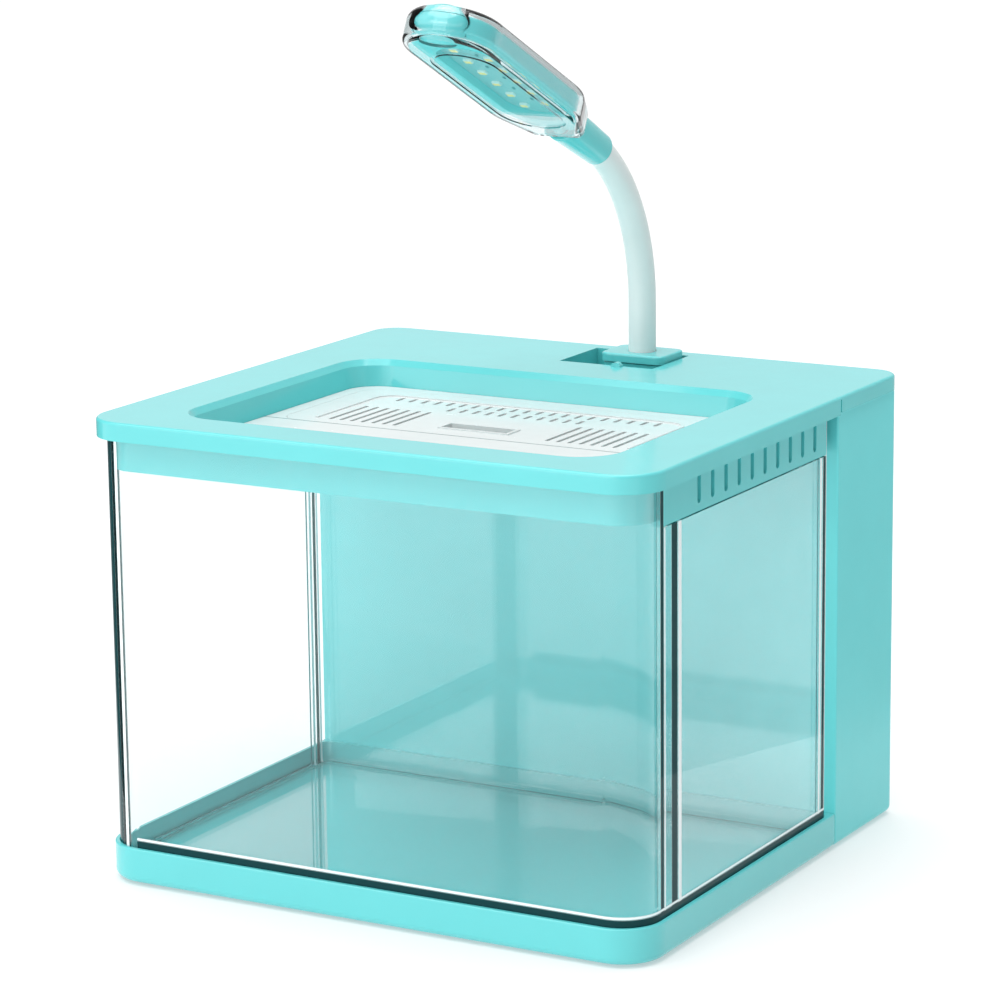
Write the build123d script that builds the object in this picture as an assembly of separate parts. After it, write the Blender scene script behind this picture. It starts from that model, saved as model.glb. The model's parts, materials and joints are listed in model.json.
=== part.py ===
from build123d import *
import math
import os

# Nano aquarium: a clear tank in a coloured tray, a filter housing behind it, a lift-off lid with
# a sunk tray, and a gooseneck lamp. Millimetres, +X right, +Y to the back, +Z up, z = 0 on the table.

# Overall
lid_width = 250.0
lid_depth = 236.0
lid_top = 190.0
side_overhang = 1.5
front_overhang = 1.5
rear_overhang = 1.5
ground_gap = 1.0

# Fits
slip = 0.3
snug = 0.2
running = 0.05

# Base tray
tray_height = 14.6
tray_floor = 3.0
rest_ledge_height = 0.4
rest_ledge_width = 4.0
tray_rim = 1.7
tray_underside_fillet = 3.0
tray_lip_fillet = 0.6
rear_corner_radius = 0.8

# Clear tank
tank_wall = 3.0
tank_floor = 3.5
tank_radius = 16.0
tank_rear_radius = 6.0
tank_lip_rise = 2.0
tank_floor_fillet = 2.5

# Rear housing
housing_depth = 60.5
housing_wall = 2.5
housing_floor_gap = 3.2
housing_radius = 6.0
housing_underside_fillet = 3.0
baffle_x = 0.0
baffle_wall = 2.0
baffle_foot_gap = 12.0
baffle_top_gap = 25.0
cable_notch_width = 14.0
cable_notch_depth = 10.0
cable_notch_x = 70.0

# Lugs and screws between tray and housing
lug_positions = (-95.0, -45.0, 45.0, 95.0)
lug_width = 18.0
lug_reach = 15.0
boss_radius = 4.5
boss_height = 9.0
screw_radius = 1.5
screw_head_radius = 2.8
screw_head_height = 1.6
screw_length = 9.0
screw_recess = 0.6

# Feet
foot_radius = 8.0
foot_thickness = 2.0
foot_edge_x = 18.0
foot_edge_y = 20.0
foot_boss_wall = 1.5

# Lid
lid_plate = 2.5
rim_height = 7.5
rim_wall = 2.5
lid_front_radius = 18.0
lid_rear_radius = 12.0
lid_edge_fillet = 1.2
rear_rim_raise = 1.0
seam_groove_width = 1.2
seam_groove_depth = 0.7
skirt_depth = 20.5
skirt_wall = 2.0
skirt_gap = 0.5
rest_rib_width = 2.0
rest_rib_count = 5
rest_rib_pitch = 44.0

# Vent bands in the lid's sides
band_front_margin = 23.0
band_rear_margin = 7.0
band_height = 15.5
slot_count = 10
slot_pitch = 11.5
slot_width = 3.0
slot_height = 11.2
slot_foot = 3.3
slot_rear_margin = 11.2

# Recess in the lid
recess_width = 192.0
recess_front_margin = 22.0
recess_rear_margin = 8.0
recess_radius = 18.0
recess_bevel = 2.0
recess_bevel_drop = 2.5
recess_depth = 11.0
recess_draft = 2.0
recess_wall = 2.0
ledge_width = 5.0
ledge_thickness = 2.0
tray_plate_thickness = 1.5

# Top tray
trough_side_margin = 8.0
trough_front_setback = 81.0
trough_rear_margin = 8.0
trough_wall = 1.5
trough_depth = 8.0
trough_radius = 8.0
trough_ledge = 2.5
drain_slot_width = 3.0
drain_slot_length = 22.0
drain_slot_pitch = 12.0

# Grille cover
cover_thickness = 2.2
finger_hole_width = 30.0
finger_hole_depth = 8.0
finger_hole_setback = 67.0
finger_hole_frame = 1.2
grille_slot_width = 1.8
leg_slot_pitch = 5.0
leg_slot_count = 7
leg_slot_start_x = 35.0
leg_slot_front_setback = 75.0
leg_slot_rear_setback = 45.0
comb_slot_length = 7.0
comb_slot_pitch = 6.0
comb_rear_setback = 27.0
comb_front_setback = 37.0
comb_rear_count = 21
comb_front_count = 11
outline_rib_width = 1.2
outline_rib_height = 0.5
outline_half_width = 72.0
outline_rear_setback = 20.5
outline_radius = 9.0
pad_thickness = 3.2
pad_front_margin = 22.0

# Lamp seat in the lid
lamp_x = 13.5
lamp_rear_margin = 20.0
opening_left = 28.0
opening_right = 16.0
opening_front = 22.0
opening_rear = 12.0
pocket_wall = 2.0
pocket_depth = 25.0
seat_rib_height = 9.0
seat_rib_wall = 2.0
bump_radius = 2.3
bump_length = 3.0

# Lamp foot
cap_width = 30.0
cap_depth = 22.0
cap_thickness = 3.6
cap_rise = 3.0
cap_radius = 4.0
cap_fillet = 0.9
foot_groove = 0.6
foot_inset = 0.8
spigot_radius = 8.6
spigot_length = 5.0
core_grip = 12.0

# Gooseneck
sleeve_radius = 5.85
sleeve_bore = 3.5
core_radius = 3.2
sleeve_seat = 3.0
neck_straight = 24.0
neck_bend_radius = 80.0
neck_bend_angle = 64.0

# Lamp head
collar_grip = 6.0
collar_tube_radius = 6.9
collar_head_radius = 8.0
collar_fillet = 0.8
collar_bore_gap = 0.5
collar_spigot_radius = 4.0
collar_spigot_length = 6.0
collar_wire_hole = 2.0
head_gap = 27.0
head_length = 115.0
head_width = 40.0
head_thickness = 14.5
head_neck_width = 22.0
head_neck_radius = 4.0
head_shoulder = 23.0
head_shoulder_radius = 24.0
head_top_fillet = 4.8
head_bottom_fillet = 3.0
shell_wall = 2.2
window_groove_width = 1.6
window_groove_depth = 0.6
reflector_lift = 4.5
reflector_fillet = 1.0
reflector_roof = 3.0
reflector_half_width = 13.0
reflector_front_margin = 20.0
reflector_rear_margin = 14.0
board_thickness = 1.2
board_margin = 0.4
led_rows = 2
led_per_row = 6
led_row_gap = 11.0
led_pitch_share = 0.153
led_stagger = 0.3
led_width = 3.5
led_length = 2.8
led_height = 1.0
led_chamfer = 0.2
end_cap_half_width = 12.0
end_cap_radius = 7.6
end_cap_setback = 8.0
end_cap_rise = 1.0
end_cap_seam = 0.4
end_cap_seam_rise = 2.2

# Weir and return in the tank's rear wall
weir_x = -55.0
weir_z = 150.0
weir_width = 70.0
weir_height = 20.0
weir_flange = 3.0
weir_flange_thickness = 1.6
weir_slot_pitch = 5.0
weir_slot_width = 2.2
weir_slot_height = 13.0
weir_slot_count = 12

# Pump, riser and return
pump_x = 24.0
pump_y_inset = 27.0
pump_length = 40.0
pump_depth = 30.0
pump_height = 30.0
pump_wall = 2.0
pump_fillet = 3.0
pump_stand = 6.0
volute_radius = 11.0
volute_length = 12.0
impeller_blade_radius = 9.0
impeller_blade_length = 7.0
impeller_blade_count = 6
impeller_blade_wall = 1.2
impeller_hub_radius = 3.6
magnet_radius = 5.2
magnet_length = 16.0
shaft_radius = 1.0
pump_cover_thickness = 2.2
intake_slot_width = 1.6
intake_slot_count = 5
intake_slot_pitch = 3.6
pump_outlet_radius = 4.0
pump_outlet_length = 9.0
pump_outlet_inset = 8.0
cup_top_radius = 2.5
cup_rim_radius = 6.0
cup_inset = 8.0
hose_wall = 1.5
hose_grip = 7.0
nozzle_radius = 4.0
nozzle_bore = 2.6
nozzle_z = 150.0
nozzle_reach = 12.0
elbow_drop = 18.0
shaft_socket = 2.5
grommet_radius = 7.0
grommet_lip = 1.6

# Filter basket
basket_width = 78.0
basket_depth = 48.0
basket_height = 118.0
basket_wall = 1.6
basket_leg = 11.0
basket_leg_radius = 3.0
basket_leg_inset_x = 14.0
basket_leg_inset_y = 6.0
basket_x = -60.0
basket_hole_radius = 2.5
basket_hole_pitch = 11.0
basket_grip_width = 24.0
basket_grip_height = 8.0
sponge_gap = 0.4
sponge_height = 95.0
sponge_radius = 2.0

# Derived places
half_width = lid_width / 2 - side_overhang
lid_front = -lid_depth / 2
lid_rear = lid_depth / 2
body_front = lid_front + front_overhang
body_rear = lid_rear - rear_overhang
seam_y = body_rear - housing_depth
lamp_y = lid_rear - lamp_rear_margin
band_front = lid_front + band_front_margin
band_rear = seam_y - band_rear_margin
first_slot_y = band_rear - slot_rear_margin - (slot_count - 1) * slot_pitch
recess_front = lid_front + recess_front_margin
recess_rear = seam_y - recess_rear_margin
trough_front_y = recess_rear - trough_front_setback
finger_hole_y = recess_rear - finger_hole_setback
leg_slot_front_y = recess_rear - leg_slot_front_setback
leg_slot_rear_y = recess_rear - leg_slot_rear_setback
comb_rear_y = recess_rear - comb_rear_setback
comb_front_y = recess_rear - comb_front_setback
outline_rear_y = recess_rear - outline_rear_setback
led_pitch = led_pitch_share * (head_length - reflector_front_margin - reflector_rear_margin)
rim_bottom = lid_top - rim_height
plate_under = lid_top - lid_plate
tray_top = ground_gap + tray_height
tray_floor_top = ground_gap + tray_floor
tank_bottom = tray_floor_top + rest_ledge_height
tank_half = half_width - tray_rim - slip
tank_front = body_front + tray_rim + slip
tank_rear = seam_y - tray_rim - slip
tank_top = rim_bottom + tank_lip_rise
tank_inner_half = tank_half - tank_wall
housing_top = rim_bottom + rear_rim_raise
housing_floor = ground_gap + housing_floor_gap
housing_inner_floor = housing_floor + housing_wall
housing_front_inner = seam_y + housing_wall
housing_rear_inner = body_rear - housing_wall
skirt_half = tank_inner_half - skirt_gap
skirt_front = tank_front + tank_wall + skirt_gap
skirt_rear = tank_rear - tank_wall - skirt_gap
skirt_bottom = lid_top - skirt_depth
skirt_radius = tank_radius - tank_wall - skirt_gap
skirt_rear_radius = tank_rear_radius - tank_wall - skirt_gap
band_bottom = rim_bottom - band_height
recess_floor = lid_top - recess_depth
ledge_top = recess_floor - tray_plate_thickness
ledge_under = ledge_top - ledge_thickness
recess_inset = recess_bevel + recess_draft
floor_half = recess_width / 2 - recess_inset
floor_front = recess_front + recess_inset
floor_rear = recess_rear - recess_inset
floor_radius = recess_radius - recess_inset
trough_half = floor_half - trough_side_margin
trough_rear_y = floor_rear - trough_rear_margin
trough_bottom = recess_floor - trough_depth
pocket_floor = lid_top - pocket_depth
cap_top = lid_top + cap_rise
cap_under = cap_top - cap_thickness
plug_top = cap_under - foot_groove
sleeve_foot = lid_top - sleeve_seat
bend_start = lid_top + neck_straight
bend_centre_y = lamp_y - neck_bend_radius
tilt = math.radians(90.0 - neck_bend_angle)
neck_end_y = bend_centre_y + neck_bend_radius * math.cos(math.radians(neck_bend_angle))
neck_end_z = bend_start + neck_bend_radius * math.sin(math.radians(neck_bend_angle))
head_direction = (0.0, -math.cos(tilt), math.sin(tilt))
head_up = (0.0, math.sin(tilt), math.cos(tilt))
pump_y = housing_front_inner + pump_y_inset
pump_bottom = housing_inner_floor + pump_stand
basket_y = (housing_front_inner + housing_rear_inner) / 2
volute_x = pump_x + pump_length / 2 - pump_outlet_inset
impeller_z = pump_bottom + pump_height / 2
magnet_start = pump_x - pump_length / 2 + pump_wall + shaft_socket
screw_y = seam_y + housing_wall + (lug_reach - housing_wall) / 2
foot_x = half_width - foot_edge_x
front_foot_y = body_front + foot_edge_y
rear_foot_y = body_rear - foot_edge_y


def block(x0, x1, y0, y1, z0, z1):
    """A plain box between two corners."""
    centre = Pos((x0 + x1) / 2, (y0 + y1) / 2, (z0 + z1) / 2)
    return centre * Box(x1 - x0, y1 - y0, z1 - z0)


def rounded_block(x0, x1, y0, y1, z0, z1, front_radius, rear_radius):
    """A box whose upright edges are rounded, the front pair and the rear pair apart."""
    body = block(x0, x1, y0, y1, z0, z1)
    if front_radius > 0:
        body = fillet(body.edges().filter_by(Axis.Z).group_by(Axis.Y)[0], front_radius)
    if rear_radius > 0:
        body = fillet(body.edges().filter_by(Axis.Z).group_by(Axis.Y)[-1], rear_radius)
    return body


def upright(x, y, z0, z1, radius):
    """A round bar standing between two heights."""
    return Pos(x, y, (z0 + z1) / 2) * Cylinder(radius, z1 - z0)


def along_x(x0, x1, y, z, radius):
    """A round bar lying along X."""
    return Pos((x0 + x1) / 2, y, z) * Rot(0, 90, 0) * Cylinder(radius, x1 - x0)


def along_y(x, y0, y1, z, radius):
    """A round bar lying along Y."""
    return Pos(x, (y0 + y1) / 2, z) * Rot(90, 0, 0) * Cylinder(radius, y1 - y0)


def tank_outline(grow, z0, z1):
    """The tank's outer shape, larger all round by grow."""
    return rounded_block(-tank_half - grow, tank_half + grow, tank_front - grow, tank_rear + grow,
                         z0, z1, tank_radius + grow, tank_rear_radius + grow)


def base_tray():
    tray_radius = tank_radius + slip + tray_rim
    tray = rounded_block(-half_width, half_width, body_front, seam_y, ground_gap, tray_top,
                         tray_radius, rear_corner_radius)
    under = tray.faces().sort_by(Axis.Z)[0].edges()
    tray = fillet(under.filter_by(lambda edge: edge.center().Y < seam_y - rear_corner_radius - 0.1),
                  tray_underside_fillet)
    lip = tray.faces().sort_by(Axis.Z)[-1].edges()
    tray = fillet(lip.filter_by(lambda edge: edge.center().Y < seam_y - rear_corner_radius - 0.1),
                  tray_lip_fillet)
    tray -= tank_outline(slip, tank_bottom, tray_top + 1)
    tray -= tank_outline(-rest_ledge_width, tray_floor_top, tank_bottom + 1)
    for x in lug_positions:
        tray += block(x - lug_width / 2, x + lug_width / 2, seam_y - 1, seam_y + lug_reach,
                      ground_gap, tray_floor_top)
        tray -= screw_hole(x, screw_radius + snug)
    for x in (-foot_x, foot_x):
        tray -= upright(x, front_foot_y, ground_gap - 1, foot_thickness, foot_radius + slip)
    return tray


def screw_hole(x, shank):
    """Countersunk hole from below through a lug."""
    seat = ground_gap + screw_recess
    head = Pos(x, screw_y, seat + screw_head_height / 2)
    cone = head * Cone(screw_head_radius + snug, shank, screw_head_height)
    mouth = upright(x, screw_y, ground_gap - 1, seat, screw_head_radius + snug)
    return upright(x, screw_y, ground_gap - 1, tray_floor_top + 1, shank) + cone + mouth


def housing_screws():
    seat = ground_gap + screw_recess
    group = Part()
    for x in lug_positions:
        head = Pos(x, screw_y, seat + screw_head_height / 2)
        head = head * Cone(screw_head_radius, screw_radius, screw_head_height)
        shank = upright(x, screw_y, seat, seat + screw_length, screw_radius)
        drive = block(x - 0.3, x + 0.3, screw_y - 1.8, screw_y + 1.8, seat - 0.1, seat + 0.8)
        drive += block(x - 1.8, x + 1.8, screw_y - 0.3, screw_y + 0.3, seat - 0.1, seat + 0.8)
        group += head + shank - drive
    return group


def rubber_feet():
    group = Part()
    for x in (-foot_x, foot_x):
        for y in (front_foot_y, rear_foot_y):
            foot = upright(x, y, 0, foot_thickness, foot_radius)
            group += fillet(foot.edges().sort_by(Axis.Z)[0], 0.5)
    return group


def weir_window(grow):
    """The opening for the weir comb, through the tank's rear wall and the housing's front wall."""
    half_x = weir_width / 2 + grow
    half_z = weir_height / 2 + grow
    return block(weir_x - half_x, weir_x + half_x, tank_rear - tank_wall - 1,
                 housing_front_inner + 1, weir_z - half_z, weir_z + half_z)


def nozzle_hole(radius):
    """The round hole for the return pipe through the same two walls."""
    return along_y(volute_x, tank_rear - tank_wall - 1, housing_front_inner + 1, nozzle_z, radius)


def tank_shell():
    tank = tank_outline(0, tank_bottom, tank_top)
    tank = fillet(tank.faces().sort_by(Axis.Z)[0].edges(), 1.0)
    hollow = tank_outline(-tank_wall, tank_bottom + tank_floor, tank_top + 1)
    hollow = fillet(hollow.faces().sort_by(Axis.Z)[0].edges(), tank_floor_fillet)
    tank -= hollow
    notch_floor = band_bottom - slip
    tank -= block(-tank_half - 1, tank_half + 1, band_front - slip, band_rear + slip,
                  notch_floor, tank_top + 1)
    tank -= weir_window(slip)
    tank -= nozzle_hole(grommet_radius)
    return tank


def rear_housing():
    housing = rounded_block(-half_width, half_width, seam_y, body_rear, ground_gap, housing_top,
                            rear_corner_radius, housing_radius)
    under = housing.faces().sort_by(Axis.Z)[0].edges()
    housing = fillet(under.filter_by(lambda edge: edge.center().Y > seam_y + rear_corner_radius + 0.1),
                     housing_underside_fillet)
    inner_radius = housing_radius - housing_wall
    housing -= rounded_block(-half_width + housing_wall, half_width - housing_wall,
                             housing_front_inner, housing_rear_inner, housing_inner_floor,
                             housing_top + 1, 0, inner_radius)
    under_hollow = housing_underside_fillet + 1.0
    housing -= block(-half_width + under_hollow, half_width - under_hollow, housing_front_inner,
                     body_rear - under_hollow, ground_gap - 1, housing_floor)
    for x in lug_positions:
        half = lug_width / 2 + slip
        housing -= block(x - half, x + half, seam_y - 1, housing_front_inner + 1,
                         ground_gap - 1, housing_floor)
        boss_top = housing_inner_floor + boss_height
        housing += upright(x, screw_y, housing_floor, boss_top, boss_radius)
        pilot_top = ground_gap + screw_recess + screw_length + 1
        housing -= upright(x, screw_y, housing_floor - 1, pilot_top, screw_radius + snug / 2)
    for x in (-foot_x, foot_x):
        housing += upright(x, rear_foot_y, ground_gap, housing_floor + 0.5, foot_radius + foot_boss_wall)
        housing -= upright(x, rear_foot_y, ground_gap - 1, foot_thickness, foot_radius + slip)
    baffle = block(baffle_x - baffle_wall / 2, baffle_x + baffle_wall / 2, housing_front_inner - 1,
                   housing_rear_inner + 1, housing_inner_floor + baffle_foot_gap,
                   lid_top - pocket_depth - baffle_top_gap)
    housing += baffle
    housing -= block(cable_notch_x - cable_notch_width / 2, cable_notch_x + cable_notch_width / 2,
                     housing_rear_inner - 1, body_rear + 1, housing_top - cable_notch_depth,
                     housing_top + 1)
    housing -= weir_window(slip)
    housing -= nozzle_hole(grommet_radius)
    return housing


def weir_grille():
    """Comb that the tank's water passes on its way to the filter."""
    half_x = weir_width / 2
    half_z = weir_height / 2
    face = tank_rear - tank_wall
    body = block(weir_x - half_x, weir_x + half_x, face, housing_front_inner,
                 weir_z - half_z, weir_z + half_z)
    flange = block(weir_x - half_x - weir_flange, weir_x + half_x + weir_flange,
                   face - weir_flange_thickness, face, weir_z - half_z - weir_flange,
                   weir_z + half_z + weir_flange)
    flange = chamfer(flange.faces().sort_by(Axis.Y)[0].edges(), 0.6)
    body += flange
    first = weir_x - (weir_slot_count - 1) * weir_slot_pitch / 2
    for index in range(weir_slot_count):
        x = first + index * weir_slot_pitch
        body -= block(x - weir_slot_width / 2, x + weir_slot_width / 2, face - weir_flange_thickness - 1,
                      housing_front_inner + 1, weir_z - weir_slot_height / 2,
                      weir_z + weir_slot_height / 2)
    return body


def filter_basket():
    half_x = basket_width / 2
    half_y = basket_depth / 2
    foot = housing_inner_floor + basket_leg
    top = foot + basket_height
    basket = rounded_block(basket_x - half_x, basket_x + half_x, basket_y - half_y, basket_y + half_y,
                           foot, top, 3.0, 3.0)
    basket -= rounded_block(basket_x - half_x + basket_wall, basket_x + half_x - basket_wall,
                            basket_y - half_y + basket_wall, basket_y + half_y - basket_wall,
                            foot + basket_wall, top + 1, 1.5, 1.5)
    for side_x in (-1, 1):
        for side_y in (-1, 1):
            x = basket_x + side_x * (half_x - basket_leg_inset_x)
            y = basket_y + side_y * (half_y - basket_leg_inset_y)
            basket += upright(x, y, housing_inner_floor, foot + basket_wall, basket_leg_radius)
    columns = int((basket_width - 20) / basket_hole_pitch)
    rows = int((basket_depth - 14) / basket_hole_pitch)
    for column in range(columns):
        for row in range(rows):
            x = basket_x + (column - (columns - 1) / 2) * basket_hole_pitch
            y = basket_y + (row - (rows - 1) / 2) * basket_hole_pitch
            basket -= upright(x, y, foot - 1, foot + basket_wall + 1, basket_hole_radius)
    grip = block(basket_x - basket_grip_width / 2, basket_x + basket_grip_width / 2,
                 basket_y - half_y - 1, basket_y + half_y + 1,
                 top - 4 - basket_grip_height, top - 4)
    return basket - grip


def filter_sponge():
    inset = basket_wall + sponge_gap
    half_x = basket_width / 2 - inset
    half_y = basket_depth / 2 - inset
    foot = housing_inner_floor + basket_leg + basket_wall
    return rounded_block(basket_x - half_x, basket_x + half_x, basket_y - half_y, basket_y + half_y,
                         foot, foot + sponge_height, sponge_radius, sponge_radius)


def recess_loft(grow, z_floor):
    """The recess's drafted and bevelled shape, larger all round by grow."""
    centre_y = (recess_front + recess_rear) / 2
    depth = recess_rear - recess_front
    bevel_z = lid_top - recess_bevel_drop

    def ring(inset, z):
        width = recess_width - 2 * inset + 2 * grow
        length = depth - 2 * inset + 2 * grow
        return Pos(0, centre_y, z) * RectangleRounded(width, length, recess_radius - inset + grow)

    upper = loft([ring(recess_bevel, bevel_z), ring(0, lid_top)])
    lower = loft([ring(recess_inset, z_floor), ring(recess_bevel, bevel_z)])
    return upper, lower


def stadium_slot_x(y, z0, z1, width, x0, x1):
    """A slot with round ends standing between two heights, cut along X."""
    radius = width / 2
    body = block(x0, x1, y - radius, y + radius, z0 + radius, z1 - radius)
    return body + along_x(x0, x1, y, z0 + radius, radius) + along_x(x0, x1, y, z1 - radius, radius)


def stadium_slot_z(x, y0, y1, width, z0, z1):
    """A slot with round ends lying along Y, cut along Z."""
    radius = width / 2
    body = block(x - radius, x + radius, y0 + radius, y1 - radius, z0, z1)
    return body + upright(x, y0 + radius, z0, z1, radius) + upright(x, y1 - radius, z0, z1, radius)


def lid_shell():
    """Top plate with its rim and the skirt that drops into the tank."""
    half = lid_width / 2
    shell = rounded_block(-half, half, lid_front, lid_rear, rim_bottom, lid_top,
                          lid_front_radius, lid_rear_radius)
    shell = fillet(shell.faces().sort_by(Axis.Z)[-1].edges(), lid_edge_fillet)
    shell -= rounded_block(-half + rim_wall, half - rim_wall, lid_front + rim_wall,
                           lid_rear - rim_wall, rim_bottom - 1, plate_under,
                           lid_front_radius - rim_wall, lid_rear_radius - rim_wall)
    shell -= block(-half - 1, half + 1, seam_y, lid_rear + 1, rim_bottom - 1, housing_top)
    for side in (-1, 1):
        edge = side * (half - seam_groove_depth)
        low, high = sorted((edge, side * (half + 1)))
        shell -= block(low, high, seam_y - seam_groove_width, seam_y, rim_bottom - 1,
                       lid_top - lid_edge_fillet)
    skirt = rounded_block(-skirt_half, skirt_half, skirt_front, skirt_rear, skirt_bottom,
                          plate_under + 0.5, skirt_radius, skirt_rear_radius)
    skirt -= rounded_block(-skirt_half + skirt_wall, skirt_half - skirt_wall,
                           skirt_front + skirt_wall, skirt_rear - skirt_wall, skirt_bottom - 1,
                           plate_under + 1, skirt_radius - skirt_wall,
                           skirt_rear_radius - skirt_wall)
    return shell + skirt


def vent_bands():
    """Thick bands in the lid's sides that fill the notches in the tank's walls."""
    bands = Part()
    for side in (-1, 1):
        low, high = sorted((side * (skirt_half - skirt_wall), side * tank_half))
        band = block(low, high, band_front, band_rear, band_bottom, plate_under + 0.5)
        outer = band.faces().sort_by(Axis.X)[-1 if side > 0 else 0]
        bands += chamfer(outer.edges().filter_by(lambda edge: edge.center().Z < plate_under), 0.4)
    return bands


def vent_slots():
    slots = Part()
    foot = band_bottom + slot_foot
    for index in range(slot_count):
        y = first_slot_y + index * slot_pitch
        for side in (-1, 1):
            low, high = sorted((side * (skirt_half - skirt_wall - 0.5), side * (tank_half + 0.5)))
            slots += stadium_slot_x(y, foot, foot + slot_height, slot_width, low, high)
    return slots


def lid():
    body = lid_shell() + vent_bands()
    for index in range(rest_rib_count):
        x = (index - (rest_rib_count - 1) / 2) * rest_rib_pitch
        half = rest_rib_width / 2
        body += block(x - half, x + half, lid_front + rim_wall - 0.5, skirt_front + 0.5,
                      tank_top, plate_under + 0.5)
        body += block(x - half, x + half, skirt_rear - 0.5, tank_rear, tank_top, plate_under + 0.5)
    wall_upper, wall_lower = recess_loft(recess_wall, ledge_under)
    hollow_upper, hollow_lower = recess_loft(0, recess_floor)
    below_plate = block(-lid_width, lid_width, -lid_depth, lid_depth, ledge_under - 1, plate_under + 0.5)
    body += wall_lower + (wall_upper & below_plate)
    body -= hollow_upper + hollow_lower
    floor = RectangleRounded(2 * floor_half, floor_rear - floor_front, floor_radius)
    floor_centre_y = (floor_front + floor_rear) / 2
    body -= Pos(0, floor_centre_y, ledge_top) * extrude(floor, recess_floor - ledge_top + 0.01)
    opening = RectangleRounded(2 * (floor_half - ledge_width), floor_rear - floor_front - 2 * ledge_width,
                               floor_radius - ledge_width)
    body -= Pos(0, floor_centre_y, ledge_under - 1) * extrude(opening, ledge_thickness + 2)
    body -= vent_slots()
    x0, x1 = lamp_x - opening_left, lamp_x + opening_right
    y0, y1 = lamp_y - opening_front, lamp_y + opening_rear
    body += block(x0 - pocket_wall, x1 + pocket_wall, y0 - pocket_wall, y1 + pocket_wall,
                  pocket_floor - pocket_wall, plate_under + 0.5)
    body -= block(x0, x1, y0, y1, pocket_floor, lid_top + 1)
    seat_x = cap_width / 2 - foot_inset + slip
    seat_y = cap_depth / 2 - foot_inset + slip
    seat = block(max(x0, lamp_x - seat_x - seat_rib_wall), x1,
                 lamp_y - seat_y - seat_rib_wall, y1, pocket_floor - 0.5,
                 pocket_floor + seat_rib_height)
    seat -= block(lamp_x - seat_x, lamp_x + seat_x, lamp_y - seat_y, lamp_y + seat_y,
                  pocket_floor - 1, pocket_floor + seat_rib_height + 1)
    body += seat
    body -= upright(lamp_x, lamp_y, pocket_floor - pocket_wall - 1, pocket_floor + 1, core_radius + 1)
    bump = along_y(lamp_x, y0 - bump_length, y0, lid_top - 0.4, bump_radius)
    body += bump & block(x0, x1, y0 - bump_length, y0, lid_top - 0.5, lid_top + bump_radius)
    return body


def top_tray():
    """White tray on the ledge of the recess, with a trough under the grille."""
    plate = rounded_block(-floor_half + slip, floor_half - slip, floor_front + slip, floor_rear - slip,
                          ledge_top, recess_floor, floor_radius - slip, floor_radius - slip)
    trough = rounded_block(-trough_half, trough_half, trough_front_y, trough_rear_y, trough_bottom,
                           ledge_top + 0.5, trough_radius, trough_radius)
    cover_half = trough_half + trough_ledge
    cover_seat = rounded_block(-cover_half, cover_half, trough_front_y - trough_ledge,
                               trough_rear_y + trough_ledge, recess_floor - cover_thickness - trough_wall,
                               ledge_top + 0.5, trough_radius + trough_ledge, trough_radius + trough_ledge)
    tray = plate + trough + cover_seat
    tray -= rounded_block(-cover_half + trough_wall, cover_half - trough_wall,
                          trough_front_y - trough_ledge + trough_wall,
                          trough_rear_y + trough_ledge - trough_wall, recess_floor - cover_thickness,
                          recess_floor + 1, trough_radius, trough_radius)
    tray -= rounded_block(-trough_half + trough_wall, trough_half - trough_wall,
                          trough_front_y + trough_wall, trough_rear_y - trough_wall,
                          trough_bottom + trough_wall, recess_floor, trough_radius - trough_wall,
                          trough_radius - trough_wall)
    columns = int(2 * trough_half / drain_slot_pitch) - 1
    for column in range(columns):
        x = (column - (columns - 1) / 2) * drain_slot_pitch
        middle = (trough_front_y + trough_rear_y) / 2
        for start in (middle - drain_slot_length - 3, middle + 3):
            tray -= stadium_slot_z(x, start, start + drain_slot_length, drain_slot_width,
                                   trough_bottom - 1, trough_bottom + trough_wall + 1)
    tray -= block(-finger_hole_width / 2 - 2, finger_hole_width / 2 + 2,
                  finger_hole_y - finger_hole_depth / 2, finger_hole_y + finger_hole_depth / 2,
                  trough_bottom - 1, trough_bottom + trough_wall + 1)
    return tray


def filter_pad():
    gap = trough_wall + snug
    floor = trough_bottom + trough_wall
    return rounded_block(-trough_half + gap, trough_half - gap, trough_front_y + gap + pad_front_margin,
                         trough_rear_y - gap, floor, floor + pad_thickness, 0,
                         trough_radius - trough_wall)


def tray_grille():
    """Slotted cover over the trough, with its finger hole."""
    half = trough_half + trough_ledge - trough_wall - snug
    front = trough_front_y - trough_ledge + trough_wall + snug
    rear = trough_rear_y + trough_ledge - trough_wall - snug
    under = recess_floor - cover_thickness
    cover = rounded_block(-half, half, front, rear, under, recess_floor,
                          trough_radius - snug, trough_radius - snug)
    outline = grille_outline(0) - grille_outline(outline_rib_width)
    outline -= block(-half, half, front - 5, leg_slot_front_y, under, recess_floor + 5)
    cover += outline
    frame = finger_hole_frame
    hole_half = finger_hole_width / 2
    hole_front = finger_hole_y - finger_hole_depth / 2
    hole_rear = finger_hole_y + finger_hole_depth / 2
    cover += block(-hole_half - frame, hole_half + frame, hole_front - frame, hole_rear + frame,
                   recess_floor - 0.5, recess_floor + outline_rib_height)
    cover -= block(-hole_half, hole_half, hole_front, hole_rear, under - 1, recess_floor + 2)
    for side in (-1, 1):
        for index in range(leg_slot_count):
            x = side * (leg_slot_start_x + index * leg_slot_pitch)
            cover -= stadium_slot_z(x, leg_slot_front_y, leg_slot_rear_y, grille_slot_width,
                                    under - 1, recess_floor + 2)
    for count, y in ((comb_rear_count, comb_rear_y), (comb_front_count, comb_front_y)):
        for index in range(count):
            x = (index - (count - 1) / 2) * comb_slot_pitch
            cover -= stadium_slot_z(x, y - comb_slot_length / 2, y + comb_slot_length / 2,
                                    grille_slot_width, under - 1, recess_floor + 2)
    return cover


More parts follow.
